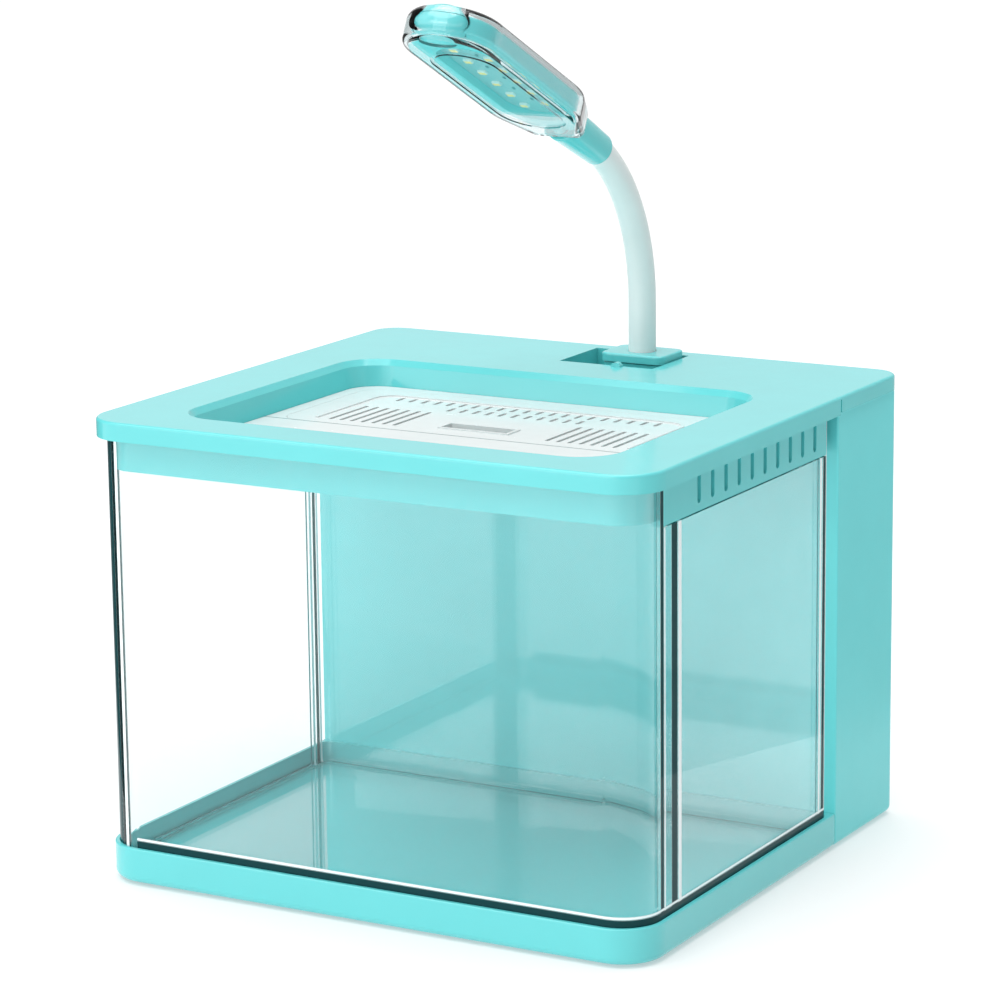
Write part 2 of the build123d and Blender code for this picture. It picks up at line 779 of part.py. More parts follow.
def grille_outline(inset):
    """The raised line round the slots."""
    half = outline_half_width - inset
    return rounded_block(-half, half, leg_slot_front_y - 10 + inset, outline_rear_y - inset,
                         recess_floor - 0.5, recess_floor + outline_rib_height, 0,
                         outline_radius - inset)


def lamp_cap():
    cap = rounded_block(lamp_x - cap_width / 2, lamp_x + cap_width / 2, lamp_y - cap_depth / 2,
                        lamp_y + cap_depth / 2, cap_under, cap_top, cap_radius, cap_radius)
    cap = fillet(cap.faces().sort_by(Axis.Z)[-1].edges(), cap_fillet)
    cap += upright(lamp_x, lamp_y, plug_top - spigot_length, cap_under + 0.5, spigot_radius)
    cap -= upright(lamp_x, lamp_y, sleeve_foot, cap_top + 1, sleeve_radius + snug)
    cap -= upright(lamp_x, lamp_y, plug_top - spigot_length - 1, sleeve_foot + 1, core_radius + snug)
    return cap


def lamp_plug():
    half_x = cap_width / 2 - foot_inset
    half_y = cap_depth / 2 - foot_inset
    plug = rounded_block(lamp_x - half_x, lamp_x + half_x, lamp_y - half_y, lamp_y + half_y,
                         pocket_floor, plug_top, cap_radius - foot_inset, cap_radius - foot_inset)
    plug -= upright(lamp_x, lamp_y, plug_top - spigot_length, plug_top + 1, spigot_radius + snug)
    core_foot = plug_top - spigot_length - core_grip
    plug -= upright(lamp_x, lamp_y, core_foot, plug_top, core_radius + snug)
    return plug


def tube(z0, z1, outer, inner):
    body = upright(lamp_x, lamp_y, z0, z1, outer)
    return body - upright(lamp_x, lamp_y, z0 - 1, z1 + 1, inner) if inner else body


def bent_tube(outer, inner, angle):
    """The curved run of the gooseneck, from the top of its straight run."""
    section = Circle(outer)
    if inner:
        section -= Circle(inner)
    section = Pos(lamp_x, lamp_y, bend_start) * section
    axis = Axis((lamp_x, bend_centre_y, bend_start), (1, 0, 0))
    return revolve(section, axis, revolution_arc=angle)


def neck_sleeve_lower():
    return tube(sleeve_foot, bend_start, sleeve_radius, sleeve_bore)


def neck_core_lower():
    return tube(plug_top - spigot_length - core_grip, bend_start, core_radius, 0)


def neck_sleeve_upper():
    return bent_tube(sleeve_radius, sleeve_bore, neck_bend_angle)


def neck_core_upper():
    return bent_tube(core_radius, 0, neck_bend_angle)


def head_frame(distance):
    """Plane at a distance along the head: X points to the tip, Z out of the head's top."""
    origin = (lamp_x, neck_end_y + head_direction[1] * distance,
              neck_end_z + head_direction[2] * distance)
    return Plane(origin=origin, x_dir=head_direction, z_dir=head_up)


def head_bar(start, end, radius_start, radius_end):
    """A round, tapered bar along the head's axis."""
    length = end - start
    frame = head_frame(start)
    turned = frame * Pos(length / 2, 0, 0) * Rot(0, 90, 0)
    if abs(radius_start - radius_end) < 0.001:
        return turned * Cylinder(radius_start, length)
    return turned * Cone(radius_start, radius_end, length)


def neck_collar():
    """Tapered collar between the gooseneck and the head, with a spigot in the head's end."""
    collar = head_bar(-collar_grip, head_gap, collar_tube_radius, collar_head_radius)
    collar = fillet(collar.edges().filter_by(GeomType.CIRCLE), collar_fillet)
    spigot_end = head_gap + collar_spigot_length
    collar += head_bar(head_gap - 1, spigot_end, collar_spigot_radius, collar_spigot_radius)
    bore = sleeve_radius + collar_bore_gap
    collar -= head_bar(-collar_grip - 1, 0, bore, bore)
    collar -= head_bar(-1, spigot_end + 1, collar_wire_hole, collar_wire_hole)
    return collar


def head_plan(inset):
    """The lamp head seen from above, smaller all round by inset, from its collar end at X = 0."""
    half = head_width / 2 - inset
    neck_half = head_neck_width / 2 - inset
    tip = head_length - inset
    bow = tip - half
    outline = Polyline((inset, -neck_half), (head_shoulder, -half), (bow, -half))
    outline += ThreePointArc((bow, -half), (tip, 0), (bow, half))
    outline += Polyline((bow, half), (head_shoulder, half), (inset, neck_half), (inset, -neck_half))
    plan = make_face(outline)
    shoulders = plan.vertices().filter_by(lambda point: abs(point.X - head_shoulder) < 0.01)
    plan = fillet(shoulders, head_shoulder_radius)
    ends = plan.vertices().filter_by(lambda point: abs(point.X - inset) < 0.01)
    return fillet(ends, head_neck_radius)


def head_block(inset, z0, z1, top_fillet, bottom_fillet):
    """The head's plan drawn out between two heights, with its rims rounded."""
    body = Pos(0, 0, z0) * extrude(head_plan(inset), z1 - z0)
    body = fillet(body.faces().sort_by(Axis.Z)[-1].edges(), top_fillet)
    return fillet(body.faces().sort_by(Axis.Z)[0].edges(), bottom_fillet)


def reflector_hollow(z0, z1, grow):
    """The long round-ended recess for the lights."""
    half = reflector_half_width + grow
    start = reflector_rear_margin - grow
    end = head_length - reflector_front_margin + grow
    length = end - start
    return Pos((start + end) / 2, 0, z0) * extrude(SlotOverall(length, 2 * half), z1 - z0)


def end_cap_shape(grow):
    """Rounded lozenge lying across the head's tip."""
    radius = end_cap_radius + grow
    stretch = (end_cap_half_width + grow) / radius
    body = scale(Sphere(radius), by=(1, stretch, 1))
    return Pos(head_length - end_cap_setback, 0, end_cap_rise) * body


def in_head(body):
    return head_frame(head_gap) * body


def spigot_hole():
    """The hole in the head's end for the collar's spigot."""
    length = collar_spigot_length + slip
    return Pos(length / 2 - 1, 0, 0) * Rot(0, 90, 0) * Cylinder(collar_spigot_radius + slip, length + 2)


def head_shell():
    top = head_thickness / 2
    inner_top = top - shell_wall
    shell = head_block(0, -top, top, head_top_fillet, head_bottom_fillet)
    shell -= head_block(shell_wall, -inner_top, inner_top, head_top_fillet - shell_wall,
                        head_bottom_fillet - shell_wall)
    window = reflector_hollow(-top - 1, -top + window_groove_depth, window_groove_width)
    window -= reflector_hollow(-top - 2, -top + 1, 0)
    shell -= window
    shell -= end_cap_shape(slip)
    shell -= spigot_hole()
    return in_head(shell)


def head_reflector():
    """Coloured body inside the clear shell, with the recess for the lights."""
    inset = shell_wall + slip
    top = head_thickness / 2 - inset
    under = -head_thickness / 2 + reflector_lift
    body = head_block(inset, under, top, head_top_fillet - inset, reflector_fillet)
    roof = top - reflector_roof
    body -= reflector_hollow(under - 1, roof, 0)
    body -= end_cap_shape(slip)
    body -= spigot_hole()
    return in_head(body)


def board_top():
    return head_thickness / 2 - shell_wall - slip - reflector_roof


def led_board():
    board = reflector_hollow(board_top() - board_thickness, board_top(), -board_margin)
    return in_head(board)


def lamp_leds():
    """Two rows of small lights under the board."""
    face = board_top() - board_thickness
    middle = (reflector_rear_margin + head_length - reflector_front_margin) / 2
    group = Part()
    for row in range(led_rows):
        y = (row - (led_rows - 1) / 2) * led_row_gap
        for index in range(led_per_row):
            x = middle + (index - (led_per_row - 1) / 2 + row * led_stagger) * led_pitch
            package = block(x - led_length / 2, x + led_length / 2, y - led_width / 2,
                            y + led_width / 2, face - led_height, face)
            group += chamfer(package.faces().sort_by(Axis.Z)[0].edges(), led_chamfer)
    return in_head(group)


def head_end_cap():
    body = end_cap_shape(0)
    plate = block(head_length - 2 * end_cap_setback, head_length + 5, -head_width, head_width,
                  end_cap_rise + end_cap_seam_rise, end_cap_rise + end_cap_seam_rise + end_cap_seam)
    body -= plate - end_cap_shape(-end_cap_seam)
    return in_head(body)


def pump_box():
    half = pump_length / 2
    return block(pump_x - half, pump_x + half, pump_y - pump_depth / 2, pump_y + pump_depth / 2,
                 pump_bottom, pump_bottom + pump_height)


def pump_housing():
    """Pump body: rotor well on the left, volute on the right with its outlet on top."""
    body = pump_box()
    body = fillet(body.edges().filter_by(Axis.X), pump_fillet)
    face_x = pump_x + pump_length / 2
    volute_start = face_x - volute_length
    body -= along_x(volute_start, face_x + 1, pump_y, impeller_z, volute_radius)
    body -= along_x(magnet_start, volute_start + 1, pump_y, impeller_z, magnet_radius + slip)
    body -= along_x(magnet_start - shaft_socket, magnet_start + 1, pump_y, impeller_z,
                    shaft_radius + slip)
    top = pump_bottom + pump_height
    body += upright(volute_x, pump_y, top - 2, top + pump_outlet_length, pump_outlet_radius)
    body -= upright(volute_x, pump_y, impeller_z, top + pump_outlet_length + 1,
                    pump_outlet_radius - hose_wall)
    return body


def pump_cover():
    """Slotted plate over the volute, holding the shaft's free end."""
    face_x = pump_x + pump_length / 2
    half_y = pump_depth / 2
    cover = block(face_x, face_x + pump_cover_thickness, pump_y - half_y, pump_y + half_y,
                  pump_bottom, pump_bottom + pump_height)
    cover = fillet(cover.edges().filter_by(Axis.X), pump_fillet)
    for index in range(intake_slot_count):
        offset = (index - (intake_slot_count - 1) / 2) * intake_slot_pitch
        if abs(offset) > intake_slot_width:
            cover -= block(face_x - 1, face_x + pump_cover_thickness + 1, pump_y + offset
                           - intake_slot_width / 2, pump_y + offset + intake_slot_width / 2,
                           impeller_z - volute_radius * 0.6, impeller_z + volute_radius * 0.6)
    cover += along_x(face_x - shaft_socket, face_x + 0.5, pump_y, impeller_z, 2 * shaft_radius)
    cover -= along_x(face_x - shaft_socket - 1, face_x, pump_y, impeller_z, shaft_radius + slip)
    return cover


def impeller_shaft():
    end = pump_x + pump_length / 2
    return along_x(magnet_start - shaft_socket, end, pump_y, impeller_z, shaft_radius)


def pump_impeller():
    """Round magnet with blades, free to spin on the shaft."""
    blade_end = pump_x + pump_length / 2 - shaft_socket - 1.0
    blade_start = blade_end - impeller_blade_length
    rotor = along_x(magnet_start + 0.5, magnet_start + 0.5 + magnet_length, pump_y, impeller_z,
                    magnet_radius)
    rotor += along_x(magnet_start + magnet_length, blade_end, pump_y, impeller_z, impeller_hub_radius)
    for index in range(impeller_blade_count):
        blade = Box(impeller_blade_length, impeller_blade_wall, impeller_blade_radius)
        blade = Pos((blade_start + blade_end) / 2, pump_y, impeller_z) * Rot(
            360.0 * index / impeller_blade_count, 0, 0) * Pos(0, 0, impeller_blade_radius / 2) * blade
        rotor += blade
    rotor -= along_x(magnet_start, blade_end + 1, pump_y, impeller_z, shaft_radius + running)
    return rotor


def suction_cups():
    group = Part()
    for side_x in (-1, 1):
        for side_y in (-1, 1):
            x = pump_x + side_x * (pump_length / 2 - cup_inset)
            y = pump_y + side_y * (pump_depth / 2 - cup_inset)
            height = pump_bottom - housing_inner_floor
            cone = Pos(x, y, housing_inner_floor + height / 2) * Cone(cup_rim_radius, cup_top_radius,
                                                                     height)
            hollow = Pos(x, y, housing_inner_floor + height / 4)
            cone -= hollow * Cone(cup_rim_radius - 1.0, cup_top_radius / 2, height / 2)
            group += cone
    return group


def riser_hose():
    """Soft hose from the pump's outlet up to the return elbow."""
    start = pump_bottom + pump_height + pump_outlet_length - hose_grip
    end = nozzle_z - elbow_drop + hose_grip
    hose = upright(volute_x, pump_y, start, end, pump_outlet_radius + slip + hose_wall)
    return hose - upright(volute_x, pump_y, start - 1, end + 1, pump_outlet_radius + slip)


def return_nozzle():
    """Elbow that turns the water forward, through the wall and into the tank."""
    foot = nozzle_z - elbow_drop
    tip = tank_rear - tank_wall - nozzle_reach
    body = upright(volute_x, pump_y, foot, nozzle_z, nozzle_radius)
    body += Pos(volute_x, pump_y, nozzle_z) * Sphere(nozzle_radius)
    body += along_y(volute_x, tip, pump_y, nozzle_z, nozzle_radius)
    body -= upright(volute_x, pump_y, foot - 1, nozzle_z, nozzle_bore)
    body -= Pos(volute_x, pump_y, nozzle_z) * Sphere(nozzle_bore)
    body -= along_y(volute_x, tip - 1, pump_y, nozzle_z, nozzle_bore)
    return body


def nozzle_grommet():
    """Rubber ring that seals the return pipe in the tank's wall."""
    inner = tank_rear - tank_wall
    bush = along_y(volute_x, inner, housing_front_inner, nozzle_z, grommet_radius - snug)
    bush += along_y(volute_x, inner - grommet_lip, inner, nozzle_z, grommet_radius + grommet_lip)
    return bush - along_y(volute_x, inner - grommet_lip - 1, housing_front_inner + 1, nozzle_z,
                          nozzle_radius + snug)


nodes = {
    "base_tray": base_tray,
    "rubber_feet": rubber_feet,
    "housing_screws": housing_screws,
    "tank_shell": tank_shell,
    "rear_housing": rear_housing,
    "weir_grille": weir_grille,
    "filter_basket": filter_basket,
    "filter_sponge": filter_sponge,
    "pump_housing": pump_housing,
    "pump_cover": pump_cover,
    "impeller_shaft": impeller_shaft,
    "pump_impeller": pump_impeller,
    "suction_cups": suction_cups,
    "riser_hose": riser_hose,
    "return_nozzle": return_nozzle,
    "nozzle_grommet": nozzle_grommet,
    "lid": lid,
    "top_tray": top_tray,
    "filter_pad": filter_pad,
    "tray_grille": tray_grille,
    "lamp_cap": lamp_cap,
    "lamp_plug": lamp_plug,
    "neck_sleeve_lower": neck_sleeve_lower,
    "neck_core_lower": neck_core_lower,
    "neck_sleeve_upper": neck_sleeve_upper,
    "neck_core_upper": neck_core_upper,
    "neck_collar": neck_collar,
    "head_shell": head_shell,
    "head_reflector": head_reflector,
    "led_board": led_board,
    "lamp_leds": lamp_leds,
    "head_end_cap": head_end_cap,
}

os.makedirs("parts", exist_ok=True)
for name, make in nodes.items():
    export_step(make(), f"parts/{name}.step")
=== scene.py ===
import json
import math

import bmesh
import bpy
from mathutils import Matrix, Vector, noise


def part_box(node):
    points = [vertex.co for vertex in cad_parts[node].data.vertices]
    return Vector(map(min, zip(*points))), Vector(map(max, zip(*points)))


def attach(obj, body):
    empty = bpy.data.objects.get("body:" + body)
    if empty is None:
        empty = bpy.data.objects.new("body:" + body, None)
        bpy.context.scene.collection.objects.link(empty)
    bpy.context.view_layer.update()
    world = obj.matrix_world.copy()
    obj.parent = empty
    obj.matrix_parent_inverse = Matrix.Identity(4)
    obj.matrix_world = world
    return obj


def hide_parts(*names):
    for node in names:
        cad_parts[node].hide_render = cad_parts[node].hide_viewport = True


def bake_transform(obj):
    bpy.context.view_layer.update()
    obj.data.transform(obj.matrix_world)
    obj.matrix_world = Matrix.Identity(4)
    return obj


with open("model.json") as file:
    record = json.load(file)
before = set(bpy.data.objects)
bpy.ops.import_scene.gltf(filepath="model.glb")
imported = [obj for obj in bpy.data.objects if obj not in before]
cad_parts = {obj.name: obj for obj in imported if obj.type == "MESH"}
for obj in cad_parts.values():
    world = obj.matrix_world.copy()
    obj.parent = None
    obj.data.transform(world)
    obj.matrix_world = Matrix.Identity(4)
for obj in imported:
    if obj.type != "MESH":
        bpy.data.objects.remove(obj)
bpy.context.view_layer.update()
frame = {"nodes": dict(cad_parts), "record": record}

MM = 0.001


# Camera

CAMERA_AZIMUTH = math.radians(29.40)
CAMERA_ELEVATION = math.radians(12.53)
CAMERA_ROLL = math.radians(-0.63)
CAMERA_PLACE = (0.74735, -1.32862, 0.48508)
CAMERA_LENS = 138.4


def make_camera():
    """The photograph's viewpoint."""
    back = Vector((math.sin(CAMERA_AZIMUTH) * math.cos(CAMERA_ELEVATION),
                   -math.cos(CAMERA_AZIMUTH) * math.cos(CAMERA_ELEVATION),
                   math.sin(CAMERA_ELEVATION)))
    level = Vector((0, 0, 1)).cross(back).normalized()
    upward = back.cross(level)
    right = math.cos(CAMERA_ROLL) * level + math.sin(CAMERA_ROLL) * upward
    up = math.cos(CAMERA_ROLL) * upward - math.sin(CAMERA_ROLL) * level
    data = bpy.data.cameras.new("photo_camera")
    data.lens = CAMERA_LENS
    data.sensor_width = 36.0
    data.dof.use_dof = False
    data.clip_end = 50.0
    camera = bpy.data.objects.new("photo_camera", data)
    turned = Matrix((right, up, back)).transposed().to_4x4()
    camera.matrix_world = Matrix.Translation(CAMERA_PLACE) @ turned
    bpy.context.scene.collection.objects.link(camera)
    bpy.context.scene.camera = camera


make_camera()


# Materials

def srgb(red, green, blue):
    """A colour given as 0 to 255 display values, in linear light."""
    def linear(value):
        value /= 255.0
        return value / 12.92 if value <= 0.04045 else ((value + 0.055) / 1.055) ** 2.4
    return (linear(red), linear(green), linear(blue), 1.0)


def shade(colour, factor):
    return tuple(min(1.0, channel * factor) for channel in colour[:3]) + (1.0,)


class Nodes:
    """A new material's node tree, with its shader at hand."""

    def __init__(self, name):
        self.material = bpy.data.materials.new(name)
        self.material.use_nodes = True
        self.tree = self.material.node_tree
        self.shader = self.tree.nodes["Principled BSDF"]

    def add(self, kind, **values):
        node = self.tree.nodes.new(kind)
        for key, value in values.items():
            if key in node.inputs:
                node.inputs[key].default_value = value
            else:
                setattr(node, key, value)
        return node

    def join(self, output, socket):
        self.tree.links.new(output, socket)

    def link(self, source, output, target, socket):
        self.join(source.outputs[output], target.inputs[socket])

    def place(self):
        if not hasattr(self, "coordinates"):
            self.coordinates = self.add("ShaderNodeTexCoord")
        return self.coordinates

    def noise(self, scale, detail=2.0, roughness=0.5):
        node = self.add("ShaderNodeTexNoise", Scale=scale, Detail=detail, Roughness=roughness)
        self.link(self.place(), "Object", node, "Vector")
        return node

    def colours(self, source, output, low, high, start=0.3, end=0.7):
        """Base colour that drifts between two shades."""
        ramp = self.add("ShaderNodeValToRGB")
        ramp.color_ramp.elements[0].position = start
        ramp.color_ramp.elements[0].color = low
        ramp.color_ramp.elements[1].position = end
        ramp.color_ramp.elements[1].color = high
        self.link(source, output, ramp, "Fac")
        self.link(ramp, "Color", self.shader, "Base Color")

    def roughness(self, source, output, low, high):
        spread = self.add("ShaderNodeMapRange")
        spread.inputs["To Min"].default_value = low
        spread.inputs["To Max"].default_value = high
        self.link(source, output, spread, "Value")
        self.link(spread, "Result", self.shader, "Roughness")

    def bump(self, source, output, strength, distance):
        bump = self.add("ShaderNodeBump", Strength=strength, Distance=distance)
        self.link(source, output, bump, "Height")
        self.link(bump, "Normal", self.shader, "Normal")
        return bump

    def maths(self, operation, *values):
        """A Math node on sockets and numbers; returns its output socket."""
        node = self.add("ShaderNodeMath", operation=operation)
        for index, value in enumerate(values):
            if isinstance(value, (int, float)):
                node.inputs[index].default_value = value
            else:
                self.join(value, node.inputs[index])
        return node.outputs[0]

    def stripes(self, value, low, high, bands):
        """Ramp along a value, see-through but for the bands (start, end, colour)."""
        spread = self.add("ShaderNodeMapRange")
        spread.inputs["From Min"].default_value = low
        spread.inputs["From Max"].default_value = high
        self.join(value, spread.inputs["Value"])
        ramp = self.add("ShaderNodeValToRGB")
        ramp.color_ramp.elements.remove(ramp.color_ramp.elements[1])
        ramp.color_ramp.elements[0].position = 0.0
        ramp.color_ramp.elements[0].color = (0, 0, 0, 0)
        soft = LINE_SOFTNESS / (high - low)
        for start, end, colour in bands:
            first, last = ((mark - low) / (high - low) for mark in (start, end))
            for position, alpha in ((first - soft, 0.0), (first, 1.0),
                                    (last, 1.0), (last + soft, 0.0)):
                stop = ramp.color_ramp.elements.new(position)
                stop.color = (*colour[:3], alpha)
        self.link(spread, "Result", ramp, "Fac")
        return ramp

    def lay_over(self, amount, colour):
        """A colour over the base colour, by an amount that changes over the surface."""
        mix = self.add("ShaderNodeMix", data_type="RGBA")
        self.join(amount, mix.inputs["Factor"])
        self.join(self.shader.inputs["Base Color"].links[0].from_socket, mix.inputs["A"])
        self.join(colour, mix.inputs["B"])
        self.join(mix.outputs["Result"], self.shader.inputs["Base Color"])

    def set(self, **values):
        for key, value in values.items():
            self.shader.inputs[key.replace("_", " ")].default_value = value


def glossy_plastic(name, colour, rough=(0.14, 0.2), drift=0.015, coat=0.3):
    """Moulded plastic: faint mottling in colour and gloss, and a slow waviness of the surface."""
    made = Nodes(name)
    cloud = made.noise(38.0, 3.0)
    made.colours(cloud, "Fac", shade(colour, 1 - drift), shade(colour, 1 + drift))
    made.roughness(made.noise(160.0, 4.0), "Fac", *rough)
    made.bump(made.noise(24.0, 2.0), "Fac", 0.03, 0.0006)
    made.set(IOR=1.5, Coat_Weight=coat, Coat_Roughness=0.06)
    return made.material


def clear_plastic(name, tint, depth_tint, density):
    """Polished clear plastic. Shadow and diffuse rays pass it, so what stands behind it is lit.

    Gives the nodes, so that lines can be drawn on it."""
    made = Nodes(name)
    made.colours(made.noise(40.0, 2.0), "Fac", tint, shade(tint, 0.99))
    made.set(Transmission_Weight=1.0, IOR=1.47, Roughness=0.0, Specular_IOR_Level=0.12)
    ray = made.add("ShaderNodeLightPath")
    passing = made.maths("MAXIMUM", ray.outputs["Is Shadow Ray"], ray.outputs["Is Diffuse Ray"])
    made.join(made.maths("SUBTRACT", 1.0, passing), made.shader.inputs["Alpha"])
    depth = made.add("ShaderNodeVolumeAbsorption", Color=depth_tint, Density=density)
    made.link(depth, "Volume", made.tree.nodes["Material Output"], "Volume")
    return made


# Painted refraction on the tank: dark and teal lines are painted shade and bright lines are painted
# highlights, standing in for the light its thick corners and its foot bend. The front corners round
# the centres given here. Bands are millimetres along Y or Z, and degrees round the left corner.
CORNER_X = 105.5 * MM
CORNER_Y = -98.5 * MM
OUTER_SKIN = 14.5 * MM
SIDE_FACE = 119.0 * MM
LINE_SOFTNESS = 0.25 * MM
# Colours of the painted refraction: dark and teal lines are painted shade, the bright line is a
# painted highlight.
PAINTED_DARK_LINE = (0.004, 0.045, 0.05)
PAINTED_TEAL_LINE = (0.05, 0.26, 0.28)
PAINTED_HIGHLIGHT_LINE = (0.86, 0.92, 0.93)
# Colour and place of the painted shadow in the gap before the grille.
PAINTED_GAP_SHADOW = (0.2, 0.27, 0.27)
PAINTED_GAP_SHADOW_BAND = (-34.7 * MM, -34.0 * MM)
SIDE_PAINTED_LINES = ((-97.8, -95.4, PAINTED_DARK_LINE), (-94.6, -94.0, PAINTED_HIGHLIGHT_LINE), (-88.6, -84.0, PAINTED_DARK_LINE),
              (-83.0, -80.6, PAINTED_HIGHLIGHT_LINE))
REAR_PAINTED_LINES = ((40.6, 41.4, PAINTED_TEAL_LINE), (43.2, 44.6, PAINTED_HIGHLIGHT_LINE), (46.0, 48.0, PAINTED_DARK_LINE),
              (48.8, 49.8, PAINTED_HIGHLIGHT_LINE))
FOOT_PAINTED_LINES = ((14.0, 18.4, PAINTED_DARK_LINE), (18.9, 19.6, PAINTED_HIGHLIGHT_LINE))
CORNER_PAINTED_LINES = ((16.0, 22.0, PAINTED_HIGHLIGHT_LINE), (30.0, 80.0, PAINTED_DARK_LINE))


def tank_plastic(tint, depth_tint, density):
    """Clear plastic with painted dark lines and painted highlights, standing in for the refraction
    at the tank's corners and foot.
    """
    made = clear_plastic("tank_painted_refraction_look", tint, depth_tint, density)
    split = made.add("ShaderNodeSeparateXYZ")
    made.link(made.place(), "Object", split, "Vector")
    x, y, z = (split.outputs[axis] for axis in "XYZ")
    off_middle = made.maths("ABSOLUTE", x)
    beside = made.maths("MAXIMUM", made.maths("SUBTRACT", off_middle, CORNER_X), 0.0)
    before = made.maths("MAXIMUM", made.maths("SUBTRACT", CORNER_Y, y), 0.0)
    reach = made.maths("SQRT", made.maths("ADD", made.maths("MULTIPLY", beside, beside),
                                          made.maths("MULTIPLY", before, before)))
    outer = made.maths("GREATER_THAN", reach, OUTER_SKIN)
    turn = made.maths("MULTIPLY", made.maths("ARCTAN2", beside, before), MM * 180 / math.pi)
    left = made.maths("LESS_THAN", x, -CORNER_X)
    right = made.maths("SUBTRACT", 1.0, left)
    side = made.maths("GREATER_THAN", off_middle, SIDE_FACE)
    outer_side = made.maths("MULTIPLY", side, outer)

    def lines(value, low, high, bands, mask):
        scaled = [(start * MM, end * MM, colour) for start, end, colour in bands]
        return made.stripes(value, low, high, scaled), mask

    # Layers of painted refraction shade and painted highlights, each laid over the clear plastic
    # through its mask.
    layers = (lines(y, -0.12, -0.07, SIDE_PAINTED_LINES, made.maths("MULTIPLY", outer_side, right)),
              lines(y, 0.03, 0.06, REAR_PAINTED_LINES, outer_side),
              lines(turn, -0.01, 0.1, CORNER_PAINTED_LINES, made.maths("MULTIPLY", left, outer)),
              lines(z, 0.0, 0.04, FOOT_PAINTED_LINES, made.maths("MULTIPLY", right, outer)))
    clear = 1.0
    for ramp, mask in layers:
        amount = made.maths("MULTIPLY", ramp.outputs["Alpha"], mask)
        made.lay_over(amount, ramp.outputs["Color"])
        clear = made.maths("MULTIPLY", clear, made.maths("SUBTRACT", 1.0, amount))
    made.join(clear, made.shader.inputs["Transmission Weight"])
    return made.material


def plastic_with_painted_gap_shadow(name, colour):
    """White plastic with a fine painted shadow of the gap before the grille."""
    made = Nodes(name)
    made.colours(made.noise(38.0, 3.0), "Fac", shade(colour, 0.98), shade(colour, 1.02))
    made.roughness(made.noise(160.0, 4.0), "Fac", 0.2, 0.3)
    split = made.add("ShaderNodeSeparateXYZ")
    made.link(made.place(), "Object", split, "Vector")
    # Painted shadow of the gap before the grille.
    ramp = made.stripes(split.outputs["Y"], -0.04, -0.03, [(*PAINTED_GAP_SHADOW_BAND, PAINTED_GAP_SHADOW)])
    made.lay_over(ramp.outputs["Alpha"], ramp.outputs["Color"])
    made.set(IOR=1.5, Coat_Weight=0.2, Coat_Roughness=0.06)
    return made.material


def soft_rubber(name, colour, rough=(0.42, 0.55), drift=0.04, grain=0.12):
    made = Nodes(name)
    made.colours(made.noise(60.0, 3.0), "Fac", shade(colour, 1 - drift), shade(colour, 1 + drift))
    fine = made.noise(900.0, 3.0)
    made.roughness(fine, "Fac", *rough)
    made.bump(fine, "Fac", grain, 0.0001)
    made.set(IOR=1.48)
    return made.material


def matte_plastic(name, colour):
    made = Nodes(name)
    made.colours(made.noise(80.0, 3.0), "Fac", shade(colour, 0.88), shade(colour, 1.12))
    grain = made.noise(1400.0, 2.0)
    made.roughness(grain, "Fac", 0.45, 0.62)
    made.bump(grain, "Fac", 0.25, 0.0001)
    made.set(IOR=1.5)
    return made.material


def steel(name):
    made = Nodes(name)
    streaks = made.add("ShaderNodeTexNoise", Scale=220.0, Detail=2.0)
    stretch = made.add("ShaderNodeMapping")
    stretch.inputs["Scale"].default_value = (1.0, 1.0, 0.08)
    made.link(made.place(), "Object", stretch, "Vector")
    made.link(stretch, "Vector", streaks, "Vector")
    made.colours(streaks, "Fac", (0.45, 0.46, 0.47, 1), (0.62, 0.63, 0.64, 1))
    made.roughness(streaks, "Fac", 0.22, 0.38)
    made.set(Metallic=1.0)
    return made.material


def foam(name, colour):
    """Open-cell foam: painted shade darkens the pores between lighter cell walls."""
    made = Nodes(name)
    cells = made.add("ShaderNodeTexVoronoi", Scale=700.0)
    made.link(made.place(), "Object", cells, "Vector")
    # Painted shade: darker in the pores, lighter on the cell walls.
    made.colours(cells, "Distance", shade(colour, 0.35), shade(colour, 1.7), 0.05, 0.6)
    made.bump(cells, "Distance", 0.9, 0.0008)
    made.set(Roughness=0.92, Sheen_Weight=0.2)
    return made.material


def floss(name, colour):
    """Matted fibres lying every way."""
    made = Nodes(name)
    fibres = made.add("ShaderNodeTexNoise", Scale=420.0, Detail=6.0, Distortion=2.5)
    made.link(made.place(), "Object", fibres, "Vector")
    made.colours(fibres, "Fac", shade(colour, 0.78), colour)
    made.bump(fibres, "Fac", 0.8, 0.0007)
    made.set(Roughness=0.95, Sheen_Weight=0.4)
    return made.material


AQUA = srgb(96, 202, 204)
CLEAR = ((0.985, 0.992, 0.995, 1.0), (0.55, 0.82, 0.84, 1.0), 5.0)
WHITE = srgb(216, 221, 221)

